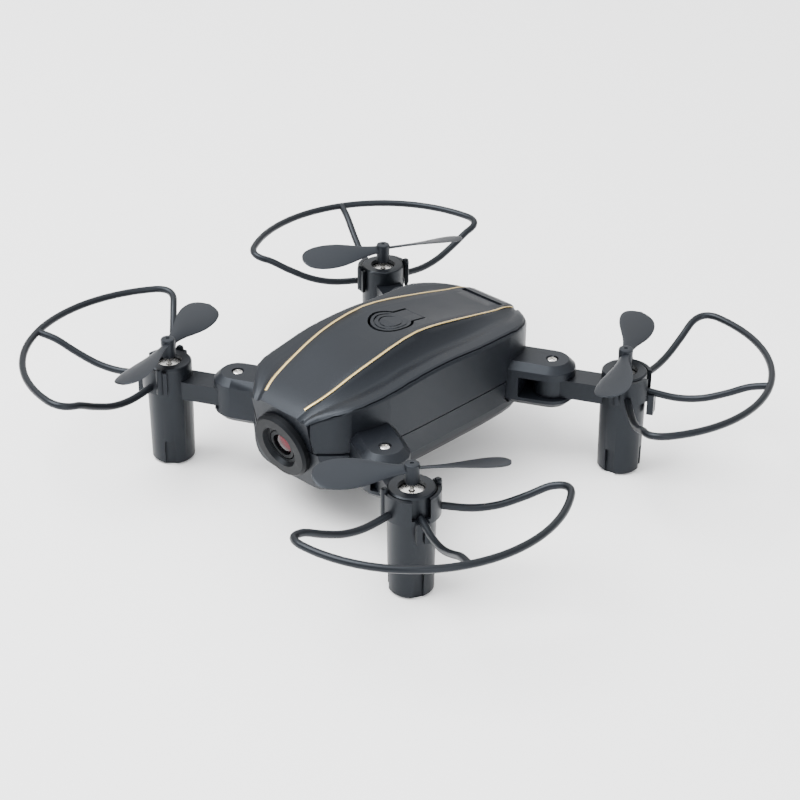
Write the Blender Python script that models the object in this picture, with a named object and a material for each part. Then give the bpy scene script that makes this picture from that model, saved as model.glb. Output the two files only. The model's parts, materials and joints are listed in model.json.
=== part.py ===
"""Palm-size folding quadcopter with clip-on propeller guards.

Metres, +Z up, nose towards -Y, the craft's left side towards +X. The origin is on the surface that
the four motor pods stand on, midway between the four arm hinges.
"""
import math

import bmesh
import bpy
from mathutils import Matrix, Vector

MM = 0.001
GAP = 0.3 * MM              # clearance between pieces that touch or slide
FACETS = 24                 # sides of a round piece
MERGE = 0.003 * MM          # points closer than this are one point
FAR = 60.0 * MM             # beyond the edge of anything that is cut

# Body casing
BODY_WIDTH = 39.0 * MM
BODY_LENGTH = 80.0 * MM
NOSE_LEAD = 2.6 * MM         # how far the body's middle lies ahead of the hinges' middle
NOSE_Y = -BODY_LENGTH / 2 - NOSE_LEAD
TAIL_Y = NOSE_Y + BODY_LENGTH
BODY_BOTTOM = 9.5 * MM
BODY_TOP = 42.0 * MM
LOWER_SEAM = 22.5 * MM      # parting line between the middle frame and the lower shell
WALL = 1.3 * MM
SPINE_HALF_WIDTH = 9.7 * MM  # half the distance between the two trim lines on the top
DISH = 0.8 * MM             # how far the middle of the top sinks between the trim lines
CORNER_RELIEF = 0.7 * MM    # how far the frame's front corners sit inside the top shell's edge

# Shape of the casing: each pair is (share of the length from the nose, share of the full size)
WIDTH_CURVE = ((0, 0.46), (0.03, 0.52), (0.06, 0.61), (0.095, 0.76), (0.14, 0.885), (0.2, 0.945),
               (0.3, 0.985), (0.4, 1), (0.8, 0.99), (0.88, 0.93), (0.945, 0.75), (0.98, 0.56), (1, 0.42))
SPINE_CURVE = ((0, 0.62), (0.05, 0.725), (0.155, 0.822), (0.265, 0.91), (0.39, 0.977), (0.5, 1),
               (0.61, 0.966), (0.785, 0.877), (0.88, 0.825), (0.945, 0.8), (0.98, 0.77), (1, 0.73))
SPINE_WIDTH_CURVE = ((0, 0.6), (0.05, 0.69), (0.155, 0.89), (0.31, 1), (0.53, 0.98),
                     (0.78, 0.91), (0.88, 0.86), (1, 0.64))
SEAM_CURVE = ((0, 0.67), (0.08, 0.732), (0.16, 0.766), (0.26, 0.785), (0.385, 0.822), (0.53, 0.831),
              (0.66, 0.812), (0.87, 0.791), (1, 0.715))
# (share of the half width, share of the depth below the lower parting line)
BELLY_SECTION = ((0.985, 0.52), (0.955, 0.34), (0.9, 0.2), (0.81, 0.09), (0.68, 0.03), (0.5, 0.005),
                 (0, 0))
SEAM_DROP = 0.045               # least height of the spine over the parting line, as a share
DISH_CURVE = ((0, 0), (0.2, 0.15), (0.42, 1), (0.62, 1), (0.85, 0.25), (1, 0))
BELLY_CURVE = ((0, 0.1), (0.08, 0.04), (0.18, 0.01), (0.5, 0), (0.8, 0.005), (0.9, 0.045), (1, 0.155))
STATIONS = (0, 0.02, 0.04, 0.06, 0.08, 0.105, 0.135, 0.17, 0.21, 0.265, 0.32, 0.38, 0.44, 0.5, 0.56, 0.62,
            0.68, 0.74, 0.8, 0.84, 0.88, 0.91, 0.94, 0.965, 0.985, 1)

# Camera in the nose
NOSE_TILT = math.radians(12)    # the lens looks a little downwards
LENS_HEIGHT = 21.4 * MM
LENS_Y = NOSE_Y + 4.0 * MM      # where the lens axis leaves the casing
BEZEL_RADIUS = 8.7 * MM
BEZEL_DEPTH = 2.1 * MM
BARREL_RADIUS = 3.9 * MM
BARREL_LENGTH = 7.9 * MM
BARREL_PROUD = 0.9 * MM         # how far the barrel stands out of the casing
LENS_RADIUS = 2.7 * MM
NOSE_CAP_HALF_WIDTH = 9.6 * MM

# Power button on a spring tongue in the top shell
BUTTON_Y = -2.0 * MM
BUTTON_RADIUS = 5.1 * MM
BUTTON_RINGS = ((2.7 * MM, 3.1 * MM), (4.0 * MM, 4.4 * MM))
BUTTON_RING_DEPTH = 0.35 * MM
BUTTON_GROOVE = 0.7 * MM
TONGUE_HALF_WIDTH = 3.0 * MM
TONGUE_ROOT_Y = BUTTON_Y + BUTTON_RADIUS + 3.5 * MM

# Slot across the tail
TAIL_SLOT_Y = TAIL_Y - 6.2 * MM
TAIL_SLOT_WIDTH = 1.5 * MM
TAIL_SLOT_HALF = 6.6 * MM
TAIL_SLOT_DEPTH = 0.8 * MM

# Folding arms
HINGE_SETBACK = 9.7 * MM        # from each end of a body centred on the hinges
HINGE_Y = BODY_LENGTH / 2 - HINGE_SETBACK
KNUCKLE_RADIUS = 6.1 * MM
HINGE_X = BODY_WIDTH / 2 + KNUCKLE_RADIUS + GAP
ARM_ANGLE = math.radians(26.3)  # from the sideways axis, arms open
ARM_REACH = 18.74 * MM          # hinge axis to motor axis
ARM_BOTTOM = 19.0 * MM
ARM_TOP = 24.0 * MM
ARM_HALF_WIDTH = 3.45 * MM
ARM_EYE_RADIUS = 4.6 * MM
KNUCKLE_BOTTOM = 16.0 * MM
KNUCKLE_TOP = 28.0 * MM
KNUCKLE_INSET = 9.0 * MM        # how far the knuckle reaches back into the body from the hinge
KNUCKLE_ROUNDING = 1.8 * MM
KNUCKLE_WINDOW = 7.2 * MM       # depth of the fork behind the hinge axis

# Motor pods
MOTOR_RADIUS = 3.5 * MM
POD_WALL = 1.95 * MM
POD_TAPER = 0.25 * MM
POD_RADIUS = MOTOR_RADIUS + GAP + POD_WALL
POD_FOOT_RADIUS = POD_RADIUS - POD_TAPER
POD_HEIGHT = 28.0 * MM
POD_CHAMFER = 0.7 * MM
POD_SLOT_WIDTH = 2.6 * MM
POD_SLOT_DEPTH = 1.2 * MM
POD_SLOT_HEIGHT = 7.0 * MM
POD_SLOT_ANGLES = (0, 105, -105)
MOTOR_LENGTH = 20.0 * MM
MOTOR_LIP = 1.0 * MM            # lip at the pod's mouth that stops the motor
MOTOR_LIP_OVERLAP = 0.2 * MM
MOTOR_WALL = 0.5 * MM
ROTOR_RADIUS = 2.5 * MM
ROTOR_SETBACK = 2.0 * MM        # between the rotor's ends and the motor can's ends
SHAFT_RADIUS = 0.5 * MM
CAP_THICKNESS = 2.6 * MM
CAP_RECESS = 0.5 * MM

# Propellers
PROP_RADIUS = 23.0 * MM
HUB_RADIUS = 1.85 * MM
HUB_BOTTOM = POD_HEIGHT + 1.0 * MM
HUB_TOP = 34.15 * MM
HUB_CROWN = 1.0 * MM            # plastic over the end of the shaft
BLADE_HEIGHT = 32.6 * MM
BLADE_CHORD = 9.4 * MM
BLADE_THICKNESS = 0.9 * MM
ROOT_PITCH = math.radians(30)
TIP_PITCH = math.radians(13)
# (share of the radius, share of the full chord)
CHORD_CURVE = ((0.04, 0.27), (0.14, 0.32), (0.26, 0.45), (0.4, 0.68), (0.55, 0.9), (0.72, 1), (0.85, 0.93),
               (0.94, 0.72), (0.985, 0.42), (1, 0.16))
# (share of the chord, share of the thickness)
BLADE_SECTION = ((-0.5, 0), (-0.25, 0.4), (0.1, 0.5), (0.5, 0), (0.1, -0.5), (-0.25, -0.4))
BLADE_ANGLES = {"front_left": 52.8, "front_right": 111.6, "rear_left": 118.9, "rear_right": 63.3}

# Propeller guards
GUARD_RADIUS = 36.5 * MM
GUARD_SPREAD = math.radians(69)
GUARD_CORNER = 5.0 * MM
WIRE_RADIUS = 0.92 * MM
WIRE_SIDES = 6
GUARD_RING_HEIGHT = 29.8 * MM
# (share of the guard's radius, height) of each of its three spokes
SPOKE_CURVE = ((0.17, 22.9 * MM), (0.38, 22.3 * MM), (0.55, 23.3 * MM), (0.72, 25.9 * MM),
               (0.86, 28.5 * MM), (1, GUARD_RING_HEIGHT))
CLIP_THICKNESS = 0.9 * MM
CLIP_BOTTOM = 21.2 * MM
CLIP_TOP = 27.6 * MM
CLIP_SPREAD = math.radians(108)
CLIP_WINDOW_HALF_WIDTH = 2.3 * MM
CLIP_WINDOW_SILL = 1.4 * MM
CLIP_BLOCK = (1.7 * MM, 3.2 * MM, 5.6 * MM)
CLIP_GROOVE = 0.6 * MM
EAR_RADIUS = 1.0 * MM
EAR_ANGLE = math.radians(92)
EAR_TOP = POD_HEIGHT + 0.7 * MM

# Screws
SCREW_HEAD_RADIUS = 1.3 * MM
SCREW_HEAD_HEIGHT = 0.9 * MM
SCREW_RADIUS = 0.7 * MM
CROSS_WIDTH = 0.4 * MM
CROSS_DEPTH = 0.45 * MM
HINGE_SCREW_LENGTH = 9.6 * MM
SHORT_SCREW_LENGTH = 3.2 * MM
BELLY_SCREW_LENGTH = 5.0 * MM
BELLY_SCREW_SEAT = 2.2 * MM     # plastic under each belly screw's head

# Electronics and the frame's cross ribs that carry them
RIB_Y = HINGE_Y - 6.3 * MM
RIB_WIDTH = 4.6 * MM
RIB_HEIGHT = 4.0 * MM
RIB_BOTTOM = LOWER_SEAM + 0.5 * MM
BOARD_HALF_WIDTH = 11.2 * MM
BOARD_THICKNESS = 1.0 * MM
BOARD_SCREW_X = 9.0 * MM
BELLY_SCREW_X = 4.6 * MM
BOSS_RADIUS = 2.3 * MM
BATTERY_ROOM = 4.7 * MM         # from each end of the battery to the belly bosses
BATTERY_SIZE = (20.0 * MM, 2 * (RIB_Y - BOSS_RADIUS - BATTERY_ROOM), 8.0 * MM)
CAMERA_BOARD_SIZE = (10.0 * MM, 10.0 * MM, 1.0 * MM)
SWITCH_SIZE = 6.0 * MM
SWITCH_HEIGHT = 3.0 * MM
PLUNGER_RADIUS = 1.6 * MM
SWITCH_FREE_PLAY = 1.3 * MM

BOARD_BOTTOM = RIB_BOTTOM + RIB_HEIGHT + GAP
BOARD_TOP = BOARD_BOTTOM + BOARD_THICKNESS
BOARD_SCREW_TOP = BOARD_TOP + GAP / 2 + SCREW_HEAD_HEIGHT
BELLY_SCREW_HEAD = RIB_BOTTOM - BELLY_SCREW_SEAT - GAP / 2 - SCREW_HEAD_HEIGHT

CORNERS = {"front_left": (1, -1), "front_right": (-1, -1), "rear_left": (1, 1), "rear_right": (-1, 1)}

for old in list(bpy.data.objects):
    bpy.data.objects.remove(old)


# ---------------------------------------------------------------- materials

def material(name, colour, roughness, metallic=0.0):
    made = bpy.data.materials.new(name)
    made.use_nodes = True
    shader = made.node_tree.nodes["Principled BSDF"]
    shader.inputs["Base Color"].default_value = (*colour, 1)
    shader.inputs["Roughness"].default_value = roughness
    shader.inputs["Metallic"].default_value = metallic
    return made


BLACK_SHELL = material("black_shell", (0.018, 0.018, 0.02), 0.5)
BLACK_ARM = material("black_arm", (0.022, 0.022, 0.024), 0.45)
BLACK_SOFT = material("black_propeller", (0.03, 0.03, 0.033), 0.4)
STEEL = material("bright_steel", (0.75, 0.75, 0.77), 0.25, 1.0)
GLASS = material("dark_glass", (0.02, 0.008, 0.012), 0.05)
BOARD_GREEN = material("board_green", (0.01, 0.12, 0.05), 0.5)
FOIL = material("battery_foil", (0.5, 0.52, 0.55), 0.35, 0.7)


# ---------------------------------------------------------------- shape tools

def smooth(points, t):
    """Value at t of a smooth curve through (t, value) points."""
    count = len(points)
    slopes = []
    for i in range(count):
        before, after = points[max(i - 1, 0)], points[min(i + 1, count - 1)]
        slopes.append((after[1] - before[1]) / (after[0] - before[0]))
    for i in range(count - 1):
        (t0, v0), (t1, v1) = points[i], points[i + 1]
        if t <= t1 or i == count - 2:
            span = t1 - t0
            u = min(max((t - t0) / span, 0), 1)
            return ((1 + 2 * u) * (1 - u) ** 2 * v0 + u * (1 - u) ** 2 * span * slopes[i]
                    + u * u * (3 - 2 * u) * v1 + u * u * (u - 1) * span * slopes[i + 1])


def finish(bm, matrix=None):
    """Turn a closed bmesh into a mesh with its faces pointing out."""
    if matrix is not None:
        bmesh.ops.transform(bm, matrix=matrix, verts=bm.verts)
    bmesh.ops.recalc_face_normals(bm, faces=bm.faces)
    mesh = bpy.data.meshes.new("solid")
    bm.to_mesh(mesh)
    bm.free()
    return mesh


def lofted(rings, matrix=None):
    """A closed solid through rings of equally many points, capped at both ends."""
    bm = bmesh.new()
    loops = [[bm.verts.new(p) for p in ring] for ring in rings]
    count = len(loops[0])
    for one, two in zip(loops, loops[1:]):
        for i in range(count):
            j = (i + 1) % count
            bm.faces.new((one[i], one[j], two[j], two[i]))
    bm.faces.new(loops[0])
    bm.faces.new(loops[-1])
    return finish(bm, matrix)


def prism(outline, bottom, top, matrix=None):
    """An outline in the XY plane extruded from bottom to top."""
    return lofted([[(x, y, z) for x, y in outline] for z in (bottom, top)], matrix)


def box(low, high, matrix=None):
    outline = ((low[0], low[1]), (high[0], low[1]), (high[0], high[1]), (low[0], high[1]))
    return prism(outline, low[2], high[2], matrix)


def turned(profile, matrix=None, segments=FACETS):
    """A (radius, height) profile turned about Z. It starts and ends on the axis, or it is a ring."""
    bm = bmesh.new()
    rings = []
    for radius, height in profile:
        if radius == 0:
            rings.append([bm.verts.new((0, 0, height))])
            continue
        angles = [2 * math.pi * i / segments for i in range(segments)]
        rings.append([bm.verts.new((radius * math.cos(a), radius * math.sin(a), height))
                      for a in angles])
    pairs = list(zip(rings, rings[1:]))
    if profile[0][0] > 0:
        pairs.append((rings[-1], rings[0]))
    for one, two in pairs:
        for i in range(segments):
            j = (i + 1) % segments
            if len(one) == 1:
                bm.faces.new((one[0], two[j], two[i]))
            elif len(two) == 1:
                bm.faces.new((one[i], one[j], two[0]))
            else:
                bm.faces.new((one[i], one[j], two[j], two[i]))
    return finish(bm, matrix)


def rod(radius, bottom, top, matrix=None, segments=FACETS):
    return turned(((0, bottom), (radius, bottom), (radius, top), (0, top)), matrix, segments)


def swept(path, radius, sides):
    """A round wire along a path, with its flat sides kept level."""
    rings = []
    for i, point in enumerate(path):
        ahead = path[min(i + 1, len(path) - 1)] - path[max(i - 1, 0)]
        ahead.normalize()
        across = ahead.cross(Vector((0, 0, 1))).normalized()
        lift = across.cross(ahead)
        angles = [2 * math.pi * (k + 0.5) / sides for k in range(sides)]
        rings.append([point + radius * (math.cos(a) * across + math.sin(a) * lift) for a in angles])
    return lofted(rings)


def combine(base, operation, *tools):
    """Mesh of a Boolean of the base with each tool in turn."""
    body = bpy.data.objects.new("base", base)
    bpy.context.collection.objects.link(body)
    for tool in tools:
        other = bpy.data.objects.new("tool", tool)
        bpy.context.collection.objects.link(other)
        cut = body.modifiers.new("cut", "BOOLEAN")
        cut.operation = operation
        cut.solver = "EXACT"
        cut.object = other
        bpy.context.view_layer.update()
        bm = bmesh.new()
        bm.from_object(body, bpy.context.evaluated_depsgraph_get())
        bmesh.ops.remove_doubles(bm, verts=bm.verts, dist=MERGE)
        bmesh.ops.dissolve_degenerate(bm, edges=bm.edges, dist=MERGE)
        body.modifiers.clear()
        body.data = finish(bm)
        bpy.data.objects.remove(other)
    mesh = body.data
    bpy.data.objects.remove(body)
    return mesh


def empty(name, location, angle, parent=None):
    made = bpy.data.objects.new(name, None)
    made.location = location
    made.rotation_euler = (0, 0, angle)
    made.parent = parent
    bpy.context.collection.objects.link(made)
    return made


def piece(name, mesh, finish_material, parent=None, angle=0.0, location=(0, 0, 0)):
    """A finished sub-part as its own object."""
    made = bpy.data.objects.new(name, mesh)
    if not mesh.materials:
        mesh.materials.append(finish_material)
    mesh.shade_smooth()
    mesh.set_sharp_from_angle(angle=math.radians(35))
    made.location = location
    made.rotation_euler = (0, 0, angle)
    made.parent = parent
    bpy.context.collection.objects.link(made)
    return made


# ---------------------------------------------------------------- body casing

def along(t):
    return NOSE_Y + BODY_LENGTH * t


def at_height(share):
    return BODY_BOTTOM + share * (BODY_TOP - BODY_BOTTOM)


def seam_height(t):
    """Height of the curved parting line under the top shell's edge."""
    return at_height(min(smooth(SEAM_CURVE, t), smooth(SPINE_CURVE, t) - SEAM_DROP))


def section(t, inset, relief):
    """Right half of the casing's cross-section, from the crown down to the belly."""
    half = BODY_WIDTH / 2 * smooth(WIDTH_CURVE, t) - inset
    half -= relief * min(max((0.2 - t) / 0.06, 0), 1)
    spine = at_height(smooth(SPINE_CURVE, t)) - inset
    seam = seam_height(t) - inset
    belly = at_height(smooth(BELLY_CURVE, t)) + inset
    trim = SPINE_HALF_WIDTH * smooth(SPINE_WIDTH_CURVE, t) - inset / 2
    trim = min(trim, 0.8 * half)
    dish = DISH * smooth(DISH_CURVE, t)
    crease = trim + 0.42 * (half - trim)
    crease_height = min(seam + 0.3 * MM, spine - 0.5 * MM)
    depth = LOWER_SEAM - belly
    points = [(trim * u, spine - dish * (1 - u * u)) for u in (0, 0.35, 0.7, 1)]
    elbow = (trim + 0.5 * (crease - trim), spine - 0.8 * (spine - crease_height))
    for u in (0.25, 0.5, 0.75, 1):
        points.append(tuple((1 - u) ** 2 * a + 2 * u * (1 - u) * b + u * u * c
                            for a, b, c in zip((trim, spine), elbow, (crease, crease_height))))
    edge = min(1.2 * MM, 0.3 * (half - crease))
    points += [
        (crease + 0.25 * (half - crease), crease_height + 0.3 * MM),
        (crease + 0.5 * (half - crease), crease_height + 0.35 * MM),
        (half - edge, crease_height + 0.1 * MM),
        (half - 0.3 * edge, seam),
        (half, seam - 0.8 * MM),
        (half, LOWER_SEAM),
    ]
    points += [(half * x, belly + depth * z) for x, z in BELLY_SECTION]
    return points


def nose_frame(forward=0.0):
    """Frame on the lens axis whose Z points out of the nose."""
    turn = Matrix.Rotation(math.radians(90) + NOSE_TILT, 4, "X")
    place = Matrix.Translation((0, LENS_Y, LENS_HEIGHT))
    return place @ turn @ Matrix.Translation((0, 0, forward))


def casing(inset=0.0, relief=0.0):
    """The casing's whole form, its nose cut square to the lens axis."""
    rings = []
    for t in STATIONS:
        y = min(max(along(t), NOSE_Y + inset), along(1) - inset)
        half = section(t, inset, relief)
        ring = [(x, y, z) for x, z in half]
        ring += [(-x, y, z) for x, z in reversed(half[1:-1])]
        rings.append(ring)
    front = box((-FAR, -FAR, 0), (FAR, FAR, FAR), nose_frame(-inset - GAP))
    return combine(lofted(rings), "DIFFERENCE", front)


def above_seam(offset):
    """Everything above the curved upper parting line, moved up by offset."""
    steps = 26
    shares = [1.35 * i / steps - 0.17 for i in range(steps + 1)]
    line = [(along(t), seam_height(t) + offset) for t in shares]
    return lofted([((-FAR, y, z), (FAR, y, z), (FAR, y, FAR), (-FAR, y, FAR)) for y, z in line])


def nose_cap(grow):
    """The part of the nose that belongs to the top shell."""
    half = NOSE_CAP_HALF_WIDTH + grow
    back = along(0.14) + grow
    return box((-half, -FAR, LOWER_SEAM + GAP / 2 - grow), (half, back, FAR))


def tongue_outline(grow, root):
    """Round button pad with a neck running back to its root."""
    radius = BUTTON_RADIUS + grow
    half = TONGUE_HALF_WIDTH + grow
    start = math.asin(half / radius)
    steps = 20
    points = []
    for i in range(steps + 1):
        angle = math.pi / 2 - start - (2 * math.pi - 2 * start) * i / steps
        points.append((radius * math.cos(angle), BUTTON_Y + radius * math.sin(angle)))
    return [(half, root)] + points + [(-half, root)]


def stadium(radius, back, steps=9):
    """Round-ended outline along +X from -back to the origin."""
    points = []
    for i in range(steps + 1):
        angle = -math.pi / 2 + math.pi * i / steps
        points.append((radius * math.cos(angle), radius * math.sin(angle)))
    for i in range(steps + 1):
        angle = math.pi / 2 + math.pi * i / steps
        points.append((-back + radius * math.cos(angle), radius * math.sin(angle)))
    return points


def knuckle(grow, matrix):
    """Hinge knuckle with rounded top and bottom edges."""
    levels = ((KNUCKLE_BOTTOM - grow, KNUCKLE_ROUNDING), (KNUCKLE_BOTTOM + KNUCKLE_ROUNDING - grow, 0),
              (KNUCKLE_TOP - KNUCKLE_ROUNDING + grow, 0), (KNUCKLE_TOP + grow, KNUCKLE_ROUNDING))
    rings = []
    for height, inset in levels:
        outline = stadium(KNUCKLE_RADIUS + grow - inset, KNUCKLE_INSET)
        rings.append([(x, y, height) for x, y in outline])
    return lofted(rings, matrix)


hinges = {}
motors = {}
for corner, (side, end) in CORNERS.items():
    heading = math.atan2(end * math.sin(ARM_ANGLE), side * math.cos(ARM_ANGLE))
    hinges[corner] = empty("fold_axis_" + corner, (side * HINGE_X, end * HINGE_Y, 0), heading)
    motors[corner] = empty("motor_axis_" + corner, (ARM_REACH, 0, 0), 0, hinges[corner])
bpy.context.view_layer.update()
hinge_frames = {corner: hinge.matrix_world.copy() for corner, hinge in hinges.items()}
knuckle_reliefs = [knuckle(GAP, frame) for frame in hinge_frames.values()]

inside = casing(WALL)
seam_gap = GAP / 2
camera_opening = rod(BARREL_RADIUS + GAP, -BARREL_LENGTH, FAR, nose_frame())


def build_upper_shell():
    room = combine(above_seam(seam_gap), "UNION", nose_cap(0))
    shell = combine(casing(), "INTERSECT", room)
    hole = prism(tongue_outline(BUTTON_GROOVE, TONGUE_ROOT_Y + GAP), BOARD_TOP, FAR)
    tail_height = at_height(smooth(SPINE_CURVE, (TAIL_SLOT_Y - NOSE_Y) / BODY_LENGTH))
    slot = box((-TAIL_SLOT_HALF, TAIL_SLOT_Y, tail_height - TAIL_SLOT_DEPTH),
               (TAIL_SLOT_HALF, TAIL_SLOT_Y + TAIL_SLOT_WIDTH, FAR))
    shell = combine(shell, "DIFFERENCE", inside.copy(), hole, slot, camera_opening.copy())
    piece("upper_shell", shell, BLACK_SHELL)
    tongue = prism(tongue_outline(0, TONGUE_ROOT_Y), BOARD_TOP, FAR)
    button = combine(casing(), "INTERSECT", tongue)
    top = at_height(1) - DISH - BUTTON_RING_DEPTH
    place = Matrix.Translation((0, BUTTON_Y, 0))
    rings = [turned(((inner, top), (outer, top), (outer, FAR), (inner, FAR)), place)
             for inner, outer in BUTTON_RINGS]
    button = combine(button, "DIFFERENCE", inside.copy(), *rings)
    axis = Vector((0, TONGUE_ROOT_Y, at_height(1) - DISH - WALL))
    button.transform(Matrix.Translation(-axis))
    piece("power_button", button, BLACK_SHELL, location=axis)


def build_middle_frame():
    band = box((-FAR, -FAR, LOWER_SEAM + seam_gap), (FAR, FAR, FAR))
    frame = combine(casing(0, CORNER_RELIEF), "INTERSECT", band)
    frame = combine(frame, "DIFFERENCE", above_seam(-seam_gap), nose_cap(GAP), inside.copy())
    half = BODY_WIDTH / 2 - WALL / 2
    ribs = []
    for end in (-1, 1):
        centre = end * RIB_Y
        ribs.append(box((-half, centre - RIB_WIDTH / 2, RIB_BOTTOM),
                        (half, centre + RIB_WIDTH / 2, RIB_BOTTOM + RIB_HEIGHT)))
    frame = combine(frame, "UNION", *ribs, *[knuckle(0, matrix) for matrix in hinge_frames.values()])
    cuts = []
    for corner, (side, end) in CORNERS.items():
        matrix = hinge_frames[corner]
        open_side = -side * end
        low, high = sorted((-open_side * (ARM_EYE_RADIUS + GAP), open_side * 3 * KNUCKLE_RADIUS))
        cuts.append(box((-KNUCKLE_WINDOW, low, ARM_BOTTOM - GAP),
                        (3 * KNUCKLE_RADIUS, high, ARM_TOP + GAP), matrix))
        seat = KNUCKLE_TOP - SCREW_HEAD_HEIGHT - GAP / 2
        cuts.append(rod(SCREW_HEAD_RADIUS + GAP, seat, FAR, matrix))
        cuts.append(rod(SCREW_RADIUS + GAP, seat - HINGE_SCREW_LENGTH - GAP, KNUCKLE_TOP, matrix))
        board_tip = BOARD_SCREW_TOP - SCREW_HEAD_HEIGHT - SHORT_SCREW_LENGTH - GAP
        belly_tip = BELLY_SCREW_HEAD + SCREW_HEAD_HEIGHT + BELLY_SCREW_LENGTH + GAP
        for across, start, stop in ((BOARD_SCREW_X, board_tip, BOARD_TOP), (BELLY_SCREW_X, 0, belly_tip)):
            place = Matrix.Translation((side * across, end * RIB_Y, 0))
            cuts.append(rod(SCREW_RADIUS + GAP, start, stop, place, 12))
    frame = combine(frame, "DIFFERENCE", *cuts)
    piece("middle_frame", frame, BLACK_SHELL)


def belly_boss(side, end):
    return Matrix.Translation((side * BELLY_SCREW_X, end * RIB_Y, 0))


def build_lower_shell():
    band = box((-FAR, -FAR, -FAR), (FAR, FAR, LOWER_SEAM - seam_gap))
    shell = combine(casing(), "INTERSECT", band)
    shell = combine(shell, "DIFFERENCE", inside.copy())
    floor = BODY_BOTTOM + WALL / 2
    bosses = [rod(BOSS_RADIUS, floor, RIB_BOTTOM - GAP, belly_boss(*corner), 16)
              for corner in CORNERS.values()]
    shell = combine(shell, "UNION", *bosses)
    cuts = []
    seat = RIB_BOTTOM - BELLY_SCREW_SEAT
    for corner in CORNERS.values():
        place = belly_boss(*corner)
        cuts.append(rod(SCREW_HEAD_RADIUS + GAP, 0, seat, place, 16))
        cuts.append(rod(SCREW_RADIUS + GAP, 0, RIB_BOTTOM, place, 12))
    shell = combine(shell, "DIFFERENCE", *cuts, camera_opening.copy(),
                    *[mesh.copy() for mesh in knuckle_reliefs])
    piece("lower_shell", shell, BLACK_SHELL)


# ---------------------------------------------------------------- camera

def build_camera():
    frame = nose_frame()
    mouth = BARREL_RADIUS + GAP
    recess = 1.28 * BARREL_RADIUS
    bezel = turned((
        (mouth, 0), (BEZEL_RADIUS, 0), (BEZEL_RADIUS, 0.65 * BEZEL_DEPTH),
        (0.93 * BEZEL_RADIUS, BEZEL_DEPTH), (1.12 * recess, BEZEL_DEPTH), (recess, BARREL_PROUD),
        (mouth, BARREL_PROUD),
    ), frame, 32)
    piece("camera_bezel", bezel, BLACK_SHELL)
    seat = LENS_RADIUS + GAP
    back = BARREL_PROUD - BARREL_LENGTH
    barrel = turned((
        (0, back), (BARREL_RADIUS, back), (BARREL_RADIUS, BARREL_PROUD), (seat, BARREL_PROUD),
        (seat, -GAP), (0, -GAP),
    ), frame)
    piece("camera_barrel", barrel, BLACK_SHELL)
    lens = turned(((0, 0), (LENS_RADIUS, 0), (LENS_RADIUS, 0.4 * MM), (0.6 * LENS_RADIUS, 0.85 * MM),
                   (0, 1 * MM)), frame)
    piece("camera_lens", lens, GLASS)
    width, height, depth = CAMERA_BOARD_SIZE
    board = box((-width / 2, -height / 2, back - GAP - depth), (width / 2, height / 2, back - GAP), frame)
    piece("camera_board", board, BOARD_GREEN)


# ---------------------------------------------------------------- electronics

def build_electronics():
    end = RIB_Y + RIB_WIDTH / 2
    board = box((-BOARD_HALF_WIDTH, -end, BOARD_BOTTOM), (BOARD_HALF_WIDTH, end, BOARD_TOP))
    holes = [rod(SCREW_RADIUS + GAP, BOARD_BOTTOM - 1 * MM, BOARD_TOP + 1 * MM,
                 Matrix.Translation((side * BOARD_SCREW_X, place * RIB_Y, 0)), 12)
             for side, place in CORNERS.values()]
    piece("main_board", combine(board, "DIFFERENCE", *holes), BOARD_GREEN)
    length, depth, height = BATTERY_SIZE
    floor = BODY_BOTTOM + WALL + 2 * GAP
    bevel = 1.2 * MM
    rings = []
    for level, inset in ((floor, bevel), (floor + bevel, 0), (floor + height - bevel, 0),
                         (floor + height, bevel)):
        x, y = length / 2 - inset, depth / 2 - inset
        rings.append([(-x, -y, level), (x, -y, level), (x, y, level), (-x, y, level)])
    piece("battery", lofted(rings), FOIL)
    half = SWITCH_SIZE / 2
    base = BOARD_TOP + GAP
    plunger_top = at_height(1) - DISH - WALL - SWITCH_FREE_PLAY
    switch = box((-half, BUTTON_Y - half, base), (half, BUTTON_Y + half, base + SWITCH_HEIGHT))
    plunger = rod(PLUNGER_RADIUS, base + SWITCH_HEIGHT / 2, plunger_top,
                  Matrix.Translation((0, BUTTON_Y, 0)), 16)
    piece("tact_switch", combine(switch, "UNION", plunger), BLACK_ARM)


# ---------------------------------------------------------------- screws

def screw(length):
    """Cross-head screw, the top of its head at z = 0."""
    body = turned((
        (0, -SCREW_HEAD_HEIGHT - length), (SCREW_RADIUS, -SCREW_HEAD_HEIGHT - length),
        (SCREW_RADIUS, -SCREW_HEAD_HEIGHT), (SCREW_HEAD_RADIUS, -SCREW_HEAD_HEIGHT),
        (SCREW_HEAD_RADIUS, -0.35 * SCREW_HEAD_HEIGHT), (0.75 * SCREW_HEAD_RADIUS, 0), (0, 0),
    ), segments=12)
    reach = 0.62 * SCREW_HEAD_RADIUS
    half = CROSS_WIDTH / 2
    arms = ((reach, half), (half, reach))
    cross = [box((-x, -y, -CROSS_DEPTH), (x, y, 1 * MM)) for x, y in arms]
    return combine(body, "DIFFERENCE", *cross)


def build_screws():
    hinge_screw = screw(HINGE_SCREW_LENGTH)
    belly_screw = screw(BELLY_SCREW_LENGTH)
    belly_screw.transform(Matrix.Rotation(math.pi, 4, "X"))
    board_screw = screw(SHORT_SCREW_LENGTH)
    for corner, (side, end) in CORNERS.items():
        piece("hinge_screw_" + corner, hinge_screw, STEEL,
              location=(side * HINGE_X, end * HINGE_Y, KNUCKLE_TOP))
        piece("board_screw_" + corner, board_screw, STEEL,
              location=(side * BOARD_SCREW_X, end * RIB_Y, BOARD_SCREW_TOP))
        piece("belly_screw_" + corner, belly_screw, STEEL,
              location=(side * BELLY_SCREW_X, end * RIB_Y, BELLY_SCREW_HEAD))


# ---------------------------------------------------------------- arms, motors and propellers

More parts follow.
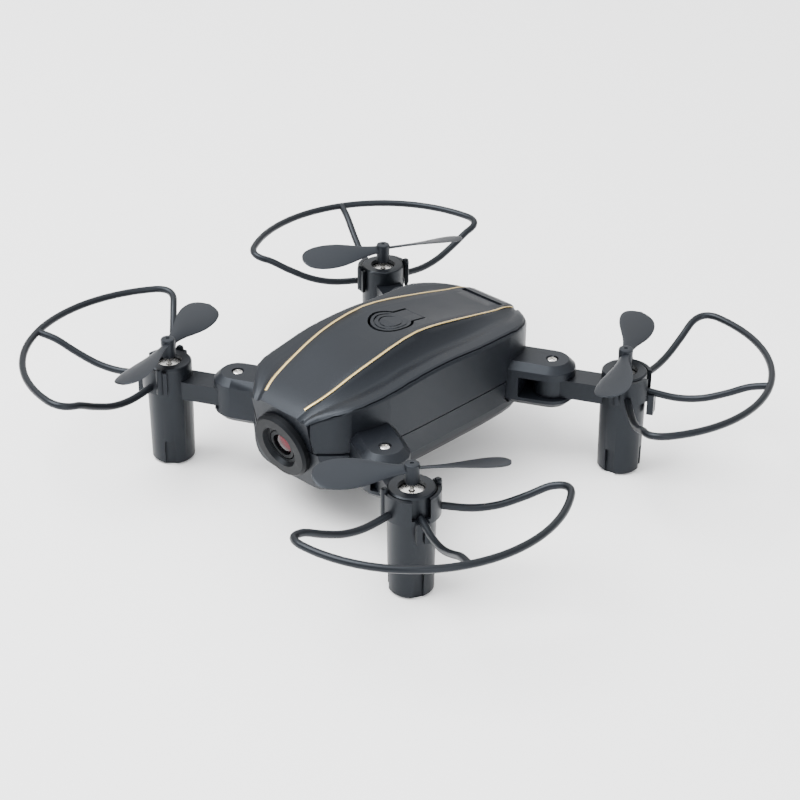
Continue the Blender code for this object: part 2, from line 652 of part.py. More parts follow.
MOTOR_TOP = POD_HEIGHT - MOTOR_LIP - GAP
BORE_RADIUS = MOTOR_RADIUS + GAP


def arm_mesh():
    """Arm and motor pod in one moulding, the hinge axis at the origin and the pod along +X."""
    pod_place = Matrix.Translation((ARM_REACH, 0, 0))
    meet = math.asin(ARM_HALF_WIDTH / ARM_EYE_RADIUS)
    steps = 16
    angles = [meet + 2 * (math.pi - meet) * i / steps for i in range(steps + 1)]
    outline = [(ARM_EYE_RADIUS * math.cos(a), ARM_EYE_RADIUS * math.sin(a)) for a in angles]
    outline = [(ARM_REACH, -ARM_HALF_WIDTH), (ARM_REACH, ARM_HALF_WIDTH)] + outline
    bar = prism(outline, ARM_BOTTOM, ARM_TOP)
    pod = turned((
        (0, 0), (POD_FOOT_RADIUS - POD_CHAMFER, 0), (POD_FOOT_RADIUS, POD_CHAMFER),
        (POD_RADIUS, ARM_BOTTOM), (POD_RADIUS, POD_HEIGHT - POD_CHAMFER / 2),
        (POD_RADIUS - POD_CHAMFER / 2, POD_HEIGHT), (0, POD_HEIGHT),
    ), pod_place, 32)
    arm = combine(bar, "UNION", pod)
    mouth = MOTOR_RADIUS - MOTOR_LIP_OVERLAP
    lip = POD_HEIGHT - MOTOR_LIP
    cuts = [
        rod(SCREW_RADIUS + GAP, 0, FAR, None, 16),
        turned(((0, -FAR), (BORE_RADIUS, -FAR), (BORE_RADIUS, lip), (mouth, lip), (mouth, FAR), (0, FAR)),
               pod_place),
    ]
    for angle in POD_SLOT_ANGLES:
        turn = pod_place @ Matrix.Rotation(math.radians(angle), 4, "Z")
        cuts.append(box((POD_RADIUS - POD_SLOT_DEPTH, -POD_SLOT_WIDTH / 2, -FAR),
                        (1.5 * POD_RADIUS, POD_SLOT_WIDTH / 2, POD_SLOT_HEIGHT), turn))
    return combine(arm, "DIFFERENCE", *cuts)


def motor_mesh():
    """Motor can, open below, with a hole for the shaft on top."""
    bottom = MOTOR_TOP - MOTOR_LENGTH
    inner = MOTOR_RADIUS - MOTOR_WALL
    hole = SHAFT_RADIUS + GAP
    return turned((
        (inner, bottom), (MOTOR_RADIUS, bottom), (MOTOR_RADIUS, MOTOR_TOP - 0.3 * MM),
        (MOTOR_RADIUS - 0.3 * MM, MOTOR_TOP), (hole, MOTOR_TOP),
        (hole, MOTOR_TOP - 2 * MOTOR_WALL), (inner, MOTOR_TOP - 2 * MOTOR_WALL),
    ))


def rotor_mesh():
    """Shaft with the rotor that turns inside the motor can."""
    bottom = MOTOR_TOP - MOTOR_LENGTH + ROTOR_SETBACK
    top = MOTOR_TOP - 2 * MOTOR_WALL - ROTOR_SETBACK / 2
    tip = HUB_TOP - HUB_CROWN - GAP
    return turned(((0, bottom), (ROTOR_RADIUS, bottom), (ROTOR_RADIUS, top), (SHAFT_RADIUS, top),
                   (SHAFT_RADIUS, tip), (0, tip)), segments=16)


def cap_mesh():
    """Plug that closes the pod under the motor."""
    radius = BORE_RADIUS - GAP
    top = CAP_RECESS + CAP_THICKNESS
    return turned(((0, CAP_RECESS), (radius - 0.3 * MM, CAP_RECESS), (radius, CAP_RECESS + 0.3 * MM),
                   (radius, top), (0, top)))


def blade_mesh(hand):
    """Twisted paddle blade along +X; hand is +1 where the edge towards +Y is the higher one."""
    rings = []
    for share, chord_share in CHORD_CURVE:
        radius = PROP_RADIUS * share
        chord = BLADE_CHORD * chord_share
        pitch = ROOT_PITCH + (TIP_PITCH - ROOT_PITCH) * share
        thick = BLADE_THICKNESS * (1 - 0.35 * share)
        ring = []
        for along_chord, through in BLADE_SECTION:
            y, z = along_chord * chord, through * thick
            lifted = math.sin(pitch) * y + math.cos(pitch) * z
            ring.append((radius, hand * (math.cos(pitch) * y - math.sin(pitch) * z), BLADE_HEIGHT + lifted))
        rings.append(ring)
    return lofted(rings)


def propeller_mesh(hand):
    hub = turned(((0, HUB_BOTTOM), (HUB_RADIUS - 0.2 * MM, HUB_BOTTOM), (HUB_RADIUS, HUB_TOP - 0.5 * MM),
                  (HUB_RADIUS - 0.5 * MM, HUB_TOP), (0, HUB_TOP)), segments=20)
    other = blade_mesh(hand)
    other.transform(Matrix.Rotation(math.pi, 4, "Z"))
    whole = combine(hub, "UNION", blade_mesh(hand), other)
    bore = rod(SHAFT_RADIUS + GAP, 0, HUB_TOP - HUB_CROWN, None, 12)
    return combine(whole, "DIFFERENCE", bore)


# ---------------------------------------------------------------- guards

def spoke_point(share, angle):
    radius = GUARD_RADIUS * share
    return Vector((radius * math.cos(angle), radius * math.sin(angle), smooth(SPOKE_CURVE, share)))


def guard_mesh():
    """Clip, three spokes and an outer arc about the motor axis, opening towards the hinge."""
    first = (POD_RADIUS + GAP + CLIP_THICKNESS / 6) / GUARD_RADIUS
    turn_in = GUARD_CORNER / GUARD_RADIUS
    last = 1 - turn_in
    half = GUARD_SPREAD - turn_in
    spoke_steps = 14
    outward = [spoke_point(first + (last - first) * i / spoke_steps, -GUARD_SPREAD)
               for i in range(spoke_steps)]
    start = spoke_point(last, -GUARD_SPREAD)
    corner = Vector((GUARD_RADIUS * math.cos(GUARD_SPREAD), -GUARD_RADIUS * math.sin(GUARD_SPREAD),
                     GUARD_RING_HEIGHT))
    stop = Vector((GUARD_RADIUS * math.cos(half), -GUARD_RADIUS * math.sin(half), GUARD_RING_HEIGHT))
    bend = []
    for i in range(5):
        u = i / 4
        bend.append((1 - u) ** 2 * start + 2 * u * (1 - u) * corner + u * u * stop)
    arc_steps = 16
    arc = []
    for i in range(1, arc_steps):
        angle = -half + 2 * half * i / arc_steps
        arc.append(Vector((GUARD_RADIUS * math.cos(angle), GUARD_RADIUS * math.sin(angle),
                           GUARD_RING_HEIGHT)))
    near = outward + bend
    far = [Vector((p.x, -p.y, p.z)) for p in reversed(near)]
    rim = swept(near + arc + far, WIRE_RADIUS, WIRE_SIDES)
    middle_steps = 10
    middle = swept([spoke_point(first + (1 - first) * i / middle_steps, 0)
                    for i in range(middle_steps + 1)], WIRE_RADIUS, WIRE_SIDES)
    inner = POD_RADIUS + GAP
    outer = inner + CLIP_THICKNESS
    steps = 18
    angles = [-CLIP_SPREAD + 2 * CLIP_SPREAD * i / steps for i in range(steps + 1)]
    outline = [(outer * math.cos(a), outer * math.sin(a)) for a in angles]
    outline += [(inner * math.cos(a), inner * math.sin(a)) for a in reversed(angles)]
    clip = prism(outline, CLIP_BOTTOM, CLIP_TOP)
    depth, width, height = CLIP_BLOCK
    block = box((inner + CLIP_THICKNESS / 2, -width / 2, CLIP_BOTTOM + CLIP_WINDOW_SILL - height),
                (inner + CLIP_THICKNESS / 2 + depth, width / 2, CLIP_BOTTOM + CLIP_WINDOW_SILL))
    window = box((0, -CLIP_WINDOW_HALF_WIDTH, CLIP_BOTTOM + CLIP_WINDOW_SILL),
                 (2 * outer, CLIP_WINDOW_HALF_WIDTH, FAR))
    ears = []
    foot = CLIP_BOTTOM + 0.4 * MM
    for side in (-1, 1):
        turn = Matrix.Rotation(side * EAR_ANGLE, 4, "Z")
        turn = turn @ Matrix.Translation((inner + CLIP_THICKNESS / 2, 0, 0))
        ears.append(turned(((0, foot), (EAR_RADIUS, foot), (EAR_RADIUS, EAR_TOP - 0.6 * MM),
                            (EAR_RADIUS - 0.5 * MM, EAR_TOP), (0, EAR_TOP)), turn, 12))
    pod_room = rod(inner, 0, FAR, None, 32)
    groove = box((outer + depth - 2.2 * CLIP_GROOVE, -CLIP_GROOVE / 2, 0),
                 (outer + 2 * depth, CLIP_GROOVE / 2, CLIP_BOTTOM - 1 * MM))
    clip = combine(clip, "UNION", block, *ears)
    clip = combine(clip, "DIFFERENCE", window, groove, pod_room)
    return combine(clip, "UNION", rim, middle)


def build_arms():
    arm = arm_mesh()
    motor = motor_mesh()
    cap = cap_mesh()
    guard = guard_mesh()
    rotor = rotor_mesh()
    propellers = {1: propeller_mesh(1), -1: propeller_mesh(-1)}
    for corner, (side, end) in CORNERS.items():
        hinge, axis = hinges[corner], motors[corner]
        heading = hinge.rotation_euler.z
        piece("arm_" + corner, arm, BLACK_ARM, hinge)
        piece("motor_" + corner, motor, STEEL, axis)
        piece("pod_cap_" + corner, cap, BLACK_ARM, axis)
        piece("prop_guard_" + corner, guard, BLACK_ARM, axis)
        piece("motor_rotor_" + corner, rotor, STEEL, axis)
        piece("propeller_" + corner, propellers[side * end], BLACK_SOFT, axis,
              math.radians(BLADE_ANGLES[corner]) - heading)


build_upper_shell()
build_middle_frame()
build_lower_shell()
build_camera()
build_electronics()
build_screws()
build_arms()
bpy.context.view_layer.update()
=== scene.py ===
"""Looks of a palm-size folding quadcopter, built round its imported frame."""
import json
import math

import bmesh
import bpy
from mathutils import Matrix, Vector
from mathutils.bvhtree import BVHTree


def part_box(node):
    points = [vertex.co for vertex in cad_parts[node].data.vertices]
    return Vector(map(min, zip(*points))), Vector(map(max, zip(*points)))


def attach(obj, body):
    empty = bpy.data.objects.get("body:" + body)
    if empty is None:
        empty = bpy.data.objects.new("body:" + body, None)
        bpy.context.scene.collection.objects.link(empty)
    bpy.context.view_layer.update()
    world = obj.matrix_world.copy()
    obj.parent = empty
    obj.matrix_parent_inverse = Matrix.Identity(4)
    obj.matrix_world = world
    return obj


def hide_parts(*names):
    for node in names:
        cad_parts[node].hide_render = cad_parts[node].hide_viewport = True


MM = 0.001

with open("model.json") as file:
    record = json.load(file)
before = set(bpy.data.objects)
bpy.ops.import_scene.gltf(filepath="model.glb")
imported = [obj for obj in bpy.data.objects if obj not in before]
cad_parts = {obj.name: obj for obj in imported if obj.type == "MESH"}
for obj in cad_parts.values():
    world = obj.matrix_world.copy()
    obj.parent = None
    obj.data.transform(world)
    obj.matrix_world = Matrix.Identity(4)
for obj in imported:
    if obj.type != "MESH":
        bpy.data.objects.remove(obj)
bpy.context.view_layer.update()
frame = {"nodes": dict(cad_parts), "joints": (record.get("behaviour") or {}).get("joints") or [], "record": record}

CORNERS = {"front_left": (1, -1), "front_right": (-1, -1), "rear_left": (1, 1), "rear_right": (-1, 1)}


# ---------------------------------------------------------------- studio
# A flat white floor under three soft boxes (key, side and back) and an overhead sky that fades towards the
# horizon. The camera looks down on the nose from the craft's left, with a long lens.

FLOOR_SIZE = 6.0
CAMERA_TURN = math.radians(44.02)
CAMERA_PITCH = math.radians(29.82)
CAMERA_ROLL = math.radians(0.35)
CAMERA_DISTANCE = 537.3 * MM
CAMERA_LENS = 94.55
CAMERA_AIM_HEIGHT = 16.8 * MM
CAMERA_AIM_SIDE = -0.4 * MM
CAMERA_AIM_BACK = 2.1 * MM
FLOOR_COLOUR = (0.93, 0.932, 0.935, 1)
LAMP_TARGET = (0, 0, 20 * MM)
SKY_LOW = 0.9
SKY_HIGH = 2.6
SKY_FADE_START = 0.3
SKY_FADE_STOP = 0.95


def nodes_of(name):
    """An empty material with its node tree and Principled shader."""
    made = bpy.data.materials.new(name)
    made.use_nodes = True
    return made, made.node_tree, made.node_tree.nodes["Principled BSDF"]


def make_floor():
    mesh = bpy.data.meshes.new("floor")
    half = FLOOR_SIZE / 2
    corners = [(-half, -half, 0), (half, -half, 0), (half, half, 0), (-half, half, 0)]
    mesh.from_pydata(corners, [], [(0, 1, 2, 3)])
    floor = bpy.data.objects.new("floor", mesh)
    bpy.context.collection.objects.link(floor)
    made, tree, shader = nodes_of("studio_floor")
    shader.inputs["Base Color"].default_value = FLOOR_COLOUR
    shader.inputs["Roughness"].default_value = 0.7
    mesh.materials.append(made)


def soft_box(name, place, size, power):
    lamp = bpy.data.lights.new(name, "AREA")
    lamp.shape = "RECTANGLE"
    lamp.size, lamp.size_y = size
    lamp.energy = power
    made = bpy.data.objects.new(name, lamp)
    made.location = place
    made.rotation_euler = (Vector(LAMP_TARGET) - Vector(place)).to_track_quat("-Z", "Y").to_euler()
    bpy.context.collection.objects.link(made)


def make_camera():
    turn, pitch = CAMERA_TURN, CAMERA_PITCH
    back = Vector((math.sin(turn) * math.cos(pitch), -math.cos(turn) * math.cos(pitch), math.sin(pitch)))
    right = Vector((math.cos(turn), math.sin(turn), 0))
    up = back.cross(right)
    across = math.cos(CAMERA_ROLL) * right + math.sin(CAMERA_ROLL) * up
    above = math.cos(CAMERA_ROLL) * up - math.sin(CAMERA_ROLL) * right
    aim = CAMERA_AIM_SIDE * right + Vector((0, CAMERA_AIM_BACK, CAMERA_AIM_HEIGHT))
    data = bpy.data.cameras.new("camera")
    data.lens = CAMERA_LENS
    data.sensor_width = 36
    camera = bpy.data.objects.new("camera", data)
    axes = Matrix((across, above, back)).transposed().to_4x4()
    camera.matrix_world = Matrix.Translation(aim + CAMERA_DISTANCE * back) @ axes
    bpy.context.collection.objects.link(camera)
    bpy.context.scene.camera = camera


def make_sky():
    """White overhead light that fades towards the horizon."""
    world = bpy.data.worlds.new("studio")
    world.use_nodes = True
    tree = world.node_tree
    node, link = tree.nodes.new, tree.links.new
    place = node("ShaderNodeTexCoord")
    split = node("ShaderNodeSeparateXYZ")
    fade = node("ShaderNodeMapRange")
    fade.inputs["From Min"].default_value = SKY_FADE_START
    fade.inputs["From Max"].default_value = SKY_FADE_STOP
    fade.inputs["To Min"].default_value = SKY_LOW
    fade.inputs["To Max"].default_value = SKY_HIGH
    link(place.outputs["Generated"], split.inputs["Vector"])
    link(split.outputs["Z"], fade.inputs["Value"])
    link(fade.outputs["Result"], tree.nodes["Background"].inputs["Strength"])
    tree.nodes["Background"].inputs["Color"].default_value = (1, 1, 1, 1)
    bpy.context.scene.world = world


make_floor()
soft_box("key_light", (-0.35, -0.45, 1.0), (0.8, 0.8), 30)
soft_box("side_light", (0.9, -0.5, 0.45), (0.4, 0.5), 5)
soft_box("back_light", (-0.7, 0.9, 0.8), (0.5, 0.5), 0.8)
make_camera()
make_sky()


# ---------------------------------------------------------------- casing
# The body is three injection-moulded shells in charcoal ABS with a fine spark-eroded grain: a top shell, a
# middle frame with four hinge knuckles, and a belly shell. They meet at two parting lines, and the power
# button's tongue is let into the top shell.

CASING_COLOUR = (0.0045, 0.0054, 0.0075)
CASING_ROUGHNESS = 0.42
KNUCKLE_LEVELS = (16.0 * MM, 17.8 * MM, 26.2 * MM, 28.0 * MM)
KNUCKLE_START = 20.2 * MM
KNUCKLE_ROUNDING = 0.75 * MM
KNUCKLE_ROUNDING_STEPS = 3
KNUCKLE_TURN = (0.3, 1.2)
EDGE_RISE = 0.01 * MM
LEVEL_REACH = 0.02 * MM
CASING_SHARP = 24
MOTTLE = 0.06
CLOUD_SCALE = 55
PLASTIC_TINT = (0.82, 0.9, 1, 1)


def moulded_plastic(name, colour, roughness, grain_scale, grain_depth, gloss_level=0.26):
    """Fine-grained moulded plastic: a grain in the bump, and slow changes in tone and gloss."""
    made, tree, shader = nodes_of(name)
    node, link = tree.nodes.new, tree.links.new
    place = node("ShaderNodeTexCoord")
    grain = node("ShaderNodeTexNoise")
    grain.inputs["Scale"].default_value = grain_scale
    grain.inputs["Detail"].default_value = 3
    bump = node("ShaderNodeBump")
    bump.inputs["Strength"].default_value = 0.35
    bump.inputs["Distance"].default_value = grain_depth
    cloud = node("ShaderNodeTexNoise")
    cloud.inputs["Scale"].default_value = CLOUD_SCALE
    cloud.inputs["Detail"].default_value = 4
    tone = node("ShaderNodeMix")
    tone.data_type = "RGBA"
    tone.inputs["A"].default_value = (*[c * (1 - 3 * MOTTLE) for c in colour], 1)
    tone.inputs["B"].default_value = (*[c * (1 + 3 * MOTTLE) for c in colour], 1)
    gloss = node("ShaderNodeMapRange")
    gloss.inputs["To Min"].default_value = roughness - MOTTLE
    gloss.inputs["To Max"].default_value = roughness + MOTTLE
    link(place.outputs["Object"], grain.inputs["Vector"])
    link(place.outputs["Object"], cloud.inputs["Vector"])
    link(grain.outputs["Fac"], bump.inputs["Height"])
    link(bump.outputs["Normal"], shader.inputs["Normal"])
    link(cloud.outputs["Fac"], tone.inputs["Factor"])
    link(tone.outputs["Result"], shader.inputs["Base Color"])
    link(cloud.outputs["Fac"], gloss.inputs["Value"])
    link(gloss.outputs["Result"], shader.inputs["Roughness"])
    shader.inputs["IOR"].default_value = 1.5
    shader.inputs["Specular IOR Level"].default_value = gloss_level
    shader.inputs["Specular Tint"].default_value = PLASTIC_TINT
    return made


def body_of(node):
    """The moving body that a frame node belongs to."""
    return next(body for body, nodes in frame["record"]["behaviour"]["bodies"].items() if node in nodes)


def shown(name, mesh, finish, node, sharp=30):
    """A piece that stands for a frame node and moves with its body. Edges past sharp degrees stay crisp."""
    mesh.materials.clear()
    mesh.materials.append(finish)
    mesh.shade_smooth()
    mesh.set_sharp_from_angle(angle=math.radians(sharp))
    made = bpy.data.objects.new(name, mesh)
    bpy.context.collection.objects.link(made)
    level = made.modifiers.new("level", "WEIGHTED_NORMAL")
    level.keep_sharp = True
    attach(made, body_of(node))
    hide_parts(node)


def merged(node):
    """A clean copy of a frame node's mesh, its loose triangles joined into faces again."""
    bm = bmesh.new()
    bm.from_mesh(frame["nodes"][node].data)
    bmesh.ops.remove_doubles(bm, verts=bm.verts, dist=0.002 * MM)
    bmesh.ops.dissolve_limit(bm, angle_limit=math.radians(0.5), verts=bm.verts, edges=bm.edges)
    mesh = bpy.data.meshes.new(node + "_moulding")
    bm.to_mesh(mesh)
    bm.free()
    return mesh


def rounded(mesh, chosen, width, steps):
    """The mesh with the edges that are chosen rounded off."""
    bm = bmesh.new()
    bm.from_mesh(mesh)
    edges = [edge for edge in bm.edges if len(edge.link_faces) == 2 and chosen(edge)]
    bmesh.ops.bevel(bm, geom=edges, offset=width, segments=steps, profile=0.5, affect="EDGES",
                    clamp_overlap=True)
    bm.to_mesh(mesh)
    bm.free()
    return mesh


def knuckle_edge(edge):
    """A level edge at either end of a knuckle's chamfers, outside the casing."""
    middle = (edge.verts[0].co + edge.verts[1].co) / 2
    rise = abs(edge.verts[0].co.z - edge.verts[1].co.z)
    level = min(abs(middle.z - z) for z in KNUCKLE_LEVELS)
    return (rise < EDGE_RISE and level < LEVEL_REACH and abs(middle.x) > KNUCKLE_START
            and KNUCKLE_TURN[0] < edge.calc_face_angle(0) < KNUCKLE_TURN[1])


casing_plastic = moulded_plastic("casing_plastic", CASING_COLOUR, CASING_ROUGHNESS, 5200, 0.02 * MM)
shown("top_shell", merged("upper_shell"), casing_plastic, "upper_shell", CASING_SHARP)
frame_mesh = rounded(merged("middle_frame"), knuckle_edge, KNUCKLE_ROUNDING, KNUCKLE_ROUNDING_STEPS)
shown("knuckle_frame", frame_mesh, casing_plastic, "middle_frame", CASING_SHARP)
shown("belly_shell", merged("lower_shell"), casing_plastic, "lower_shell", CASING_SHARP)
shown("button_tongue", merged("power_button"), casing_plastic, "power_button", CASING_SHARP)


# ---------------------------------------------------------------- pinstripes
# Two hot-stamped gold pinstripes run along the edges of the raised spine, wider at the nose than at the tail.
# Each is a thin ribbon of foil that follows the shell under it. Their path is given as (Y, X) in millimetres.

STRIPE_COLOUR = (0.74, 0.56, 0.25)
STRIPE_PATH = ((-38.2, 6.75), (-34.6, 7.9), (-30.3, 8.6), (-25.9, 9.0), (-21.4, 9.4), (-16.6, 9.7),
               (-11.3, 9.72), (-5.9, 9.6), (0, 9.5), (6.5, 9.35), (13.3, 9.1), (20.3, 8.8), (27.7, 8.35),
               (33.0, 7.95), (35.4, 7.6))
STRIPE_FRONT_WIDTH = 0.72 * MM
STRIPE_REAR_WIDTH = 0.42 * MM
STRIPE_HEIGHT = 0.09 * MM
STRIPE_THICKNESS = 0.3 * MM
STRIPE_STEPS = 70
FOIL_BRUSH_SCALE = 900
FOIL_ROUGHNESS = (0.22, 0.42)
ABOVE_CRAFT = 80 * MM


def lofted(rings):
    """A closed mesh through rings of equally many points, capped at both ends."""
    bm = bmesh.new()
    loops = [[bm.verts.new(p) for p in ring] for ring in rings]
    count = len(loops[0])
    for one, two in zip(loops, loops[1:]):
        for i in range(count):
            j = (i + 1) % count
            bm.faces.new((one[i], one[j], two[j], two[i]))
    bm.faces.new(loops[0])
    bm.faces.new(loops[-1])
    bmesh.ops.recalc_face_normals(bm, faces=bm.faces)
    mesh = bpy.data.meshes.new("solid")
    bm.to_mesh(mesh)
    bm.free()
    return mesh


def curve_value(points, t):
    """Value at t of a smooth curve through (t, value) points."""
    last = len(points) - 1
    slopes = []
    for i in range(last + 1):
        before, after = points[max(i - 1, 0)], points[min(i + 1, last)]
        slopes.append((after[1] - before[1]) / (after[0] - before[0]))
    for i in range(last):
        (t0, v0), (t1, v1) = points[i], points[i + 1]
        if t <= t1 or i == last - 1:
            span = t1 - t0
            u = min(max((t - t0) / span, 0), 1)
            return ((1 + 2 * u) * (1 - u) ** 2 * v0 + u * (1 - u) ** 2 * span * slopes[i]
                    + u * u * (3 - 2 * u) * v1 + u * u * (u - 1) * span * slopes[i + 1])


def gold_foil(name):
    made, tree, shader = nodes_of(name)
    node, link = tree.nodes.new, tree.links.new
    place = node("ShaderNodeTexCoord")
    brush = node("ShaderNodeTexNoise")
    brush.inputs["Scale"].default_value = FOIL_BRUSH_SCALE
    spread = node("ShaderNodeMapRange")
    spread.inputs["To Min"].default_value = FOIL_ROUGHNESS[0]
    spread.inputs["To Max"].default_value = FOIL_ROUGHNESS[1]
    link(place.outputs["Object"], brush.inputs["Vector"])
    link(brush.outputs["Fac"], spread.inputs["Value"])
    link(spread.outputs["Result"], shader.inputs["Roughness"])
    shader.inputs["Base Color"].default_value = (*STRIPE_COLOUR, 1)
    shader.inputs["Metallic"].default_value = 0.85
    return made


def surface_height(x, y):
    """Height of the top shell's outer surface at a place."""
    hit = spine_surface.ray_cast(Vector((x, y, ABOVE_CRAFT)), Vector((0, 0, -1)))
    return hit[0].z


def node_tree(name, inputs):
    """A Geometry Nodes tree with its named number inputs, and the identifiers of those inputs."""
    tree = bpy.data.node_groups.new(name, "GeometryNodeTree")
    tree.is_modifier = True
    tree.interface.new_socket("Geometry", in_out="INPUT", socket_type="NodeSocketGeometry")
    sockets = {label: tree.interface.new_socket(label, in_out="INPUT", socket_type=kind).identifier
               for label, kind in inputs.items()}
    tree.interface.new_socket("Geometry", in_out="OUTPUT", socket_type="NodeSocketGeometry")
    return tree, sockets, tree.nodes.new("NodeGroupInput"), tree.nodes.new("NodeGroupOutput")


def grown(name, mesh, tree, sockets, values):
    """Plain mesh that a tree makes from a mesh, with the given values at its named inputs."""
    base = bpy.data.objects.new(name, mesh)
    bpy.context.collection.objects.link(base)
    layer = base.modifiers.new("grow", "NODES")
    layer.node_group = tree
    for label, value in values.items():
        layer[sockets[label]] = value
    bpy.context.view_layer.update()
    result = bpy.data.meshes.new_from_object(base.evaluated_get(bpy.context.evaluated_depsgraph_get()))
    base.modifiers.clear()
    bpy.data.objects.remove(base)
    result.name = name
    return result


def ribbon_tree(finish):
    """Lays a flat ribbon along each line, its width changing evenly from the first end to the last."""
    tree, sockets, start, end = node_tree("foil_ribbon", {
        "Front width": "NodeSocketFloat", "Rear width": "NodeSocketFloat", "Thickness": "NodeSocketFloat"})
    node, link = tree.nodes.new, tree.links.new
    line = node("GeometryNodeMeshToCurve")
    level = node("GeometryNodeSetCurveNormal")
    level.mode = "Z_UP"
    place = node("GeometryNodeSplineParameter")
    taper = node("ShaderNodeMapRange")
    taper.inputs["To Min"].default_value = 1
    share = node("ShaderNodeMath")
    share.operation = "DIVIDE"
    profile = node("GeometryNodeCurvePrimitiveQuadrilateral")
    ribbon = node("GeometryNodeCurveToMesh")
    ribbon.inputs["Fill Caps"].default_value = True
    made = node("GeometryNodeRealizeInstances")
    paint = node("GeometryNodeSetMaterial")
    paint.inputs["Material"].default_value = finish
    link(start.outputs["Geometry"], line.inputs["Mesh"])
    link(line.outputs["Curve"], level.inputs["Curve"])
    link(start.outputs["Rear width"], share.inputs[0])
    link(start.outputs["Front width"], share.inputs[1])
    link(share.outputs["Value"], taper.inputs["To Max"])
    link(place.outputs["Factor"], taper.inputs["Value"])
    link(start.outputs["Front width"], profile.inputs["Width"])
    link(start.outputs["Thickness"], profile.inputs["Height"])
    link(level.outputs["Curve"], ribbon.inputs["Curve"])
    link(profile.outputs["Curve"], ribbon.inputs["Profile Curve"])
    link(taper.outputs["Result"], ribbon.inputs["Scale"])
    link(ribbon.outputs["Mesh"], made.inputs["Geometry"])
    link(made.outputs["Geometry"], paint.inputs["Geometry"])
    link(paint.outputs["Geometry"], end.inputs["Geometry"])
    return tree, sockets


def line_mesh(points):
    """Points joined in a line by edges."""
    mesh = bpy.data.meshes.new("line")
    mesh.from_pydata([tuple(p) for p in points], [(i, i + 1) for i in range(len(points) - 1)], [])
    return mesh


def stripe_line(side):
    """Centre line of the pinstripe on one side, lifted so that its ribbon stands proud of the shell."""
    start, stop = STRIPE_PATH[0][0], STRIPE_PATH[-1][0]
    points = []
    for i in range(STRIPE_STEPS + 1):
        y = start + (stop - start) * i / STRIPE_STEPS
        x = side * curve_value(STRIPE_PATH, y) * MM
        reach = STRIPE_FRONT_WIDTH / 2
        height = max(surface_height(x + k * reach, y * MM) for k in (-1, -0.5, 0, 0.5, 1))
        points.append((x, y * MM, height - STRIPE_THICKNESS / 2 + STRIPE_HEIGHT))
    return line_mesh(points)


def surface_of(node):
    """A frame node's surface, for casting rays at."""
    bm = bmesh.new()
    bm.from_mesh(frame["nodes"][node].data)
    tree = BVHTree.FromBMesh(bm)
    bm.free()
    return tree


spine_surface = surface_of("upper_shell")
ribbon, ribbon_sockets = ribbon_tree(gold_foil("gold_foil"))
for name, side in (("pinstripe_left", 1), ("pinstripe_right", -1)):
    stripe = bpy.data.objects.new(name, grown(name, stripe_line(side), ribbon, ribbon_sockets, {
        "Front width": STRIPE_FRONT_WIDTH, "Rear width": STRIPE_REAR_WIDTH, "Thickness": STRIPE_THICKNESS}))
    bpy.context.collection.objects.link(stripe)
    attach(stripe, "body")


# ---------------------------------------------------------------- button hinge
# The button's tongue joins the top shell at its root. A thin web in the shell's own plastic closes the groove
# there. It stays with the shell and overlaps the tongue's root slightly.

WEB_HALF_WIDTH = 3.05 * MM
WEB_START, WEB_STOP = 6.45 * MM, 7.05 * MM
WEB_DEPTH = 0.7 * MM
WEB_RISE = 0.02 * MM
WEB_SAMPLE_BACK = 0.1 * MM
WEB_STEPS = 8

rings = []
for i in range(WEB_STEPS + 1):
    x = WEB_HALF_WIDTH * (2 * i / WEB_STEPS - 1)
    height = surface_height(x, WEB_STOP + WEB_SAMPLE_BACK) + WEB_RISE
    rings.append([(x, WEB_START, height), (x, WEB_STOP, height), (x, WEB_STOP, height - WEB_DEPTH),
                  (x, WEB_START, height - WEB_DEPTH)])
web_mesh = lofted(rings)
web_mesh.materials.append(casing_plastic)
web = bpy.data.objects.new("button_web", web_mesh)
bpy.context.collection.objects.link(web)
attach(web, "body")


# ---------------------------------------------------------------- nose camera
# A semi-gloss ring is pressed over the nose. The barrel sits inside it, and the coated front element carries
# a painted red reflection: red where it faces the camera, near black towards its edges.

BEZEL_COLOUR = (0.0022, 0.0024, 0.0029)
# Painted reflection on the lens: red where the glass faces the camera, fading to near black where it turns away.
PAINTED_LENS_REFLECTION = (0.17, 0.008, 0.02, 1)
PAINTED_REFLECTION_FADE = (0.004, 0.001, 0.002, 1)
LENS_SHARP = 60

bezel_plastic = moulded_plastic("bezel_plastic", BEZEL_COLOUR, 0.45, 5200, 0.01 * MM, 0.14)
shown("nose_ring", merged("camera_bezel"), bezel_plastic, "camera_bezel")
shown("lens_barrel", merged("camera_barrel"), bezel_plastic, "camera_barrel")


def glass_with_painted_reflection(name):
    made, tree, shader = nodes_of(name)
    node, link = tree.nodes.new, tree.links.new
    # Base colour painted by viewing angle: a painted red reflection facing the camera, near black at grazing
    # angles.
    angle = node("ShaderNodeLayerWeight")
    angle.inputs["Blend"].default_value = 0.35
    ramp = node("ShaderNodeValToRGB")
    ramp.color_ramp.elements[0].color = PAINTED_LENS_REFLECTION
    ramp.color_ramp.elements[1].color = PAINTED_REFLECTION_FADE
    ramp.color_ramp.elements[1].position = 0.45
    link(angle.outputs["Facing"], ramp.inputs["Fac"])
    link(ramp.outputs["Color"], shader.inputs["Base Color"])
    shader.inputs["Roughness"].default_value = 0.06
    shader.inputs["Specular IOR Level"].default_value = 0.3
    return made


shown("front_element", merged("camera_lens"), glass_with_painted_reflection("lens_painted_reflection"), "camera_lens", LENS_SHARP)


# ---------------------------------------------------------------- electronics
# The main board is screwed to the frame's ribs, and the camera board sits behind the barrel. Both are
# fibreglass under green solder mask. The battery is a pouch in aluminium laminate.

MASK_COLOURS = {"Color1": (0.008, 0.1, 0.045, 1), "Color2": (0.01, 0.13, 0.055, 1),
                "Mortar": (0.02, 0.2, 0.09, 1)}
TRACK_SCALE = 300
POUCH_COLOUR = (0.55, 0.57, 0.6, 1)
WRINKLE_SCALE = 260
WRINKLE_DEPTH = 0.1 * MM


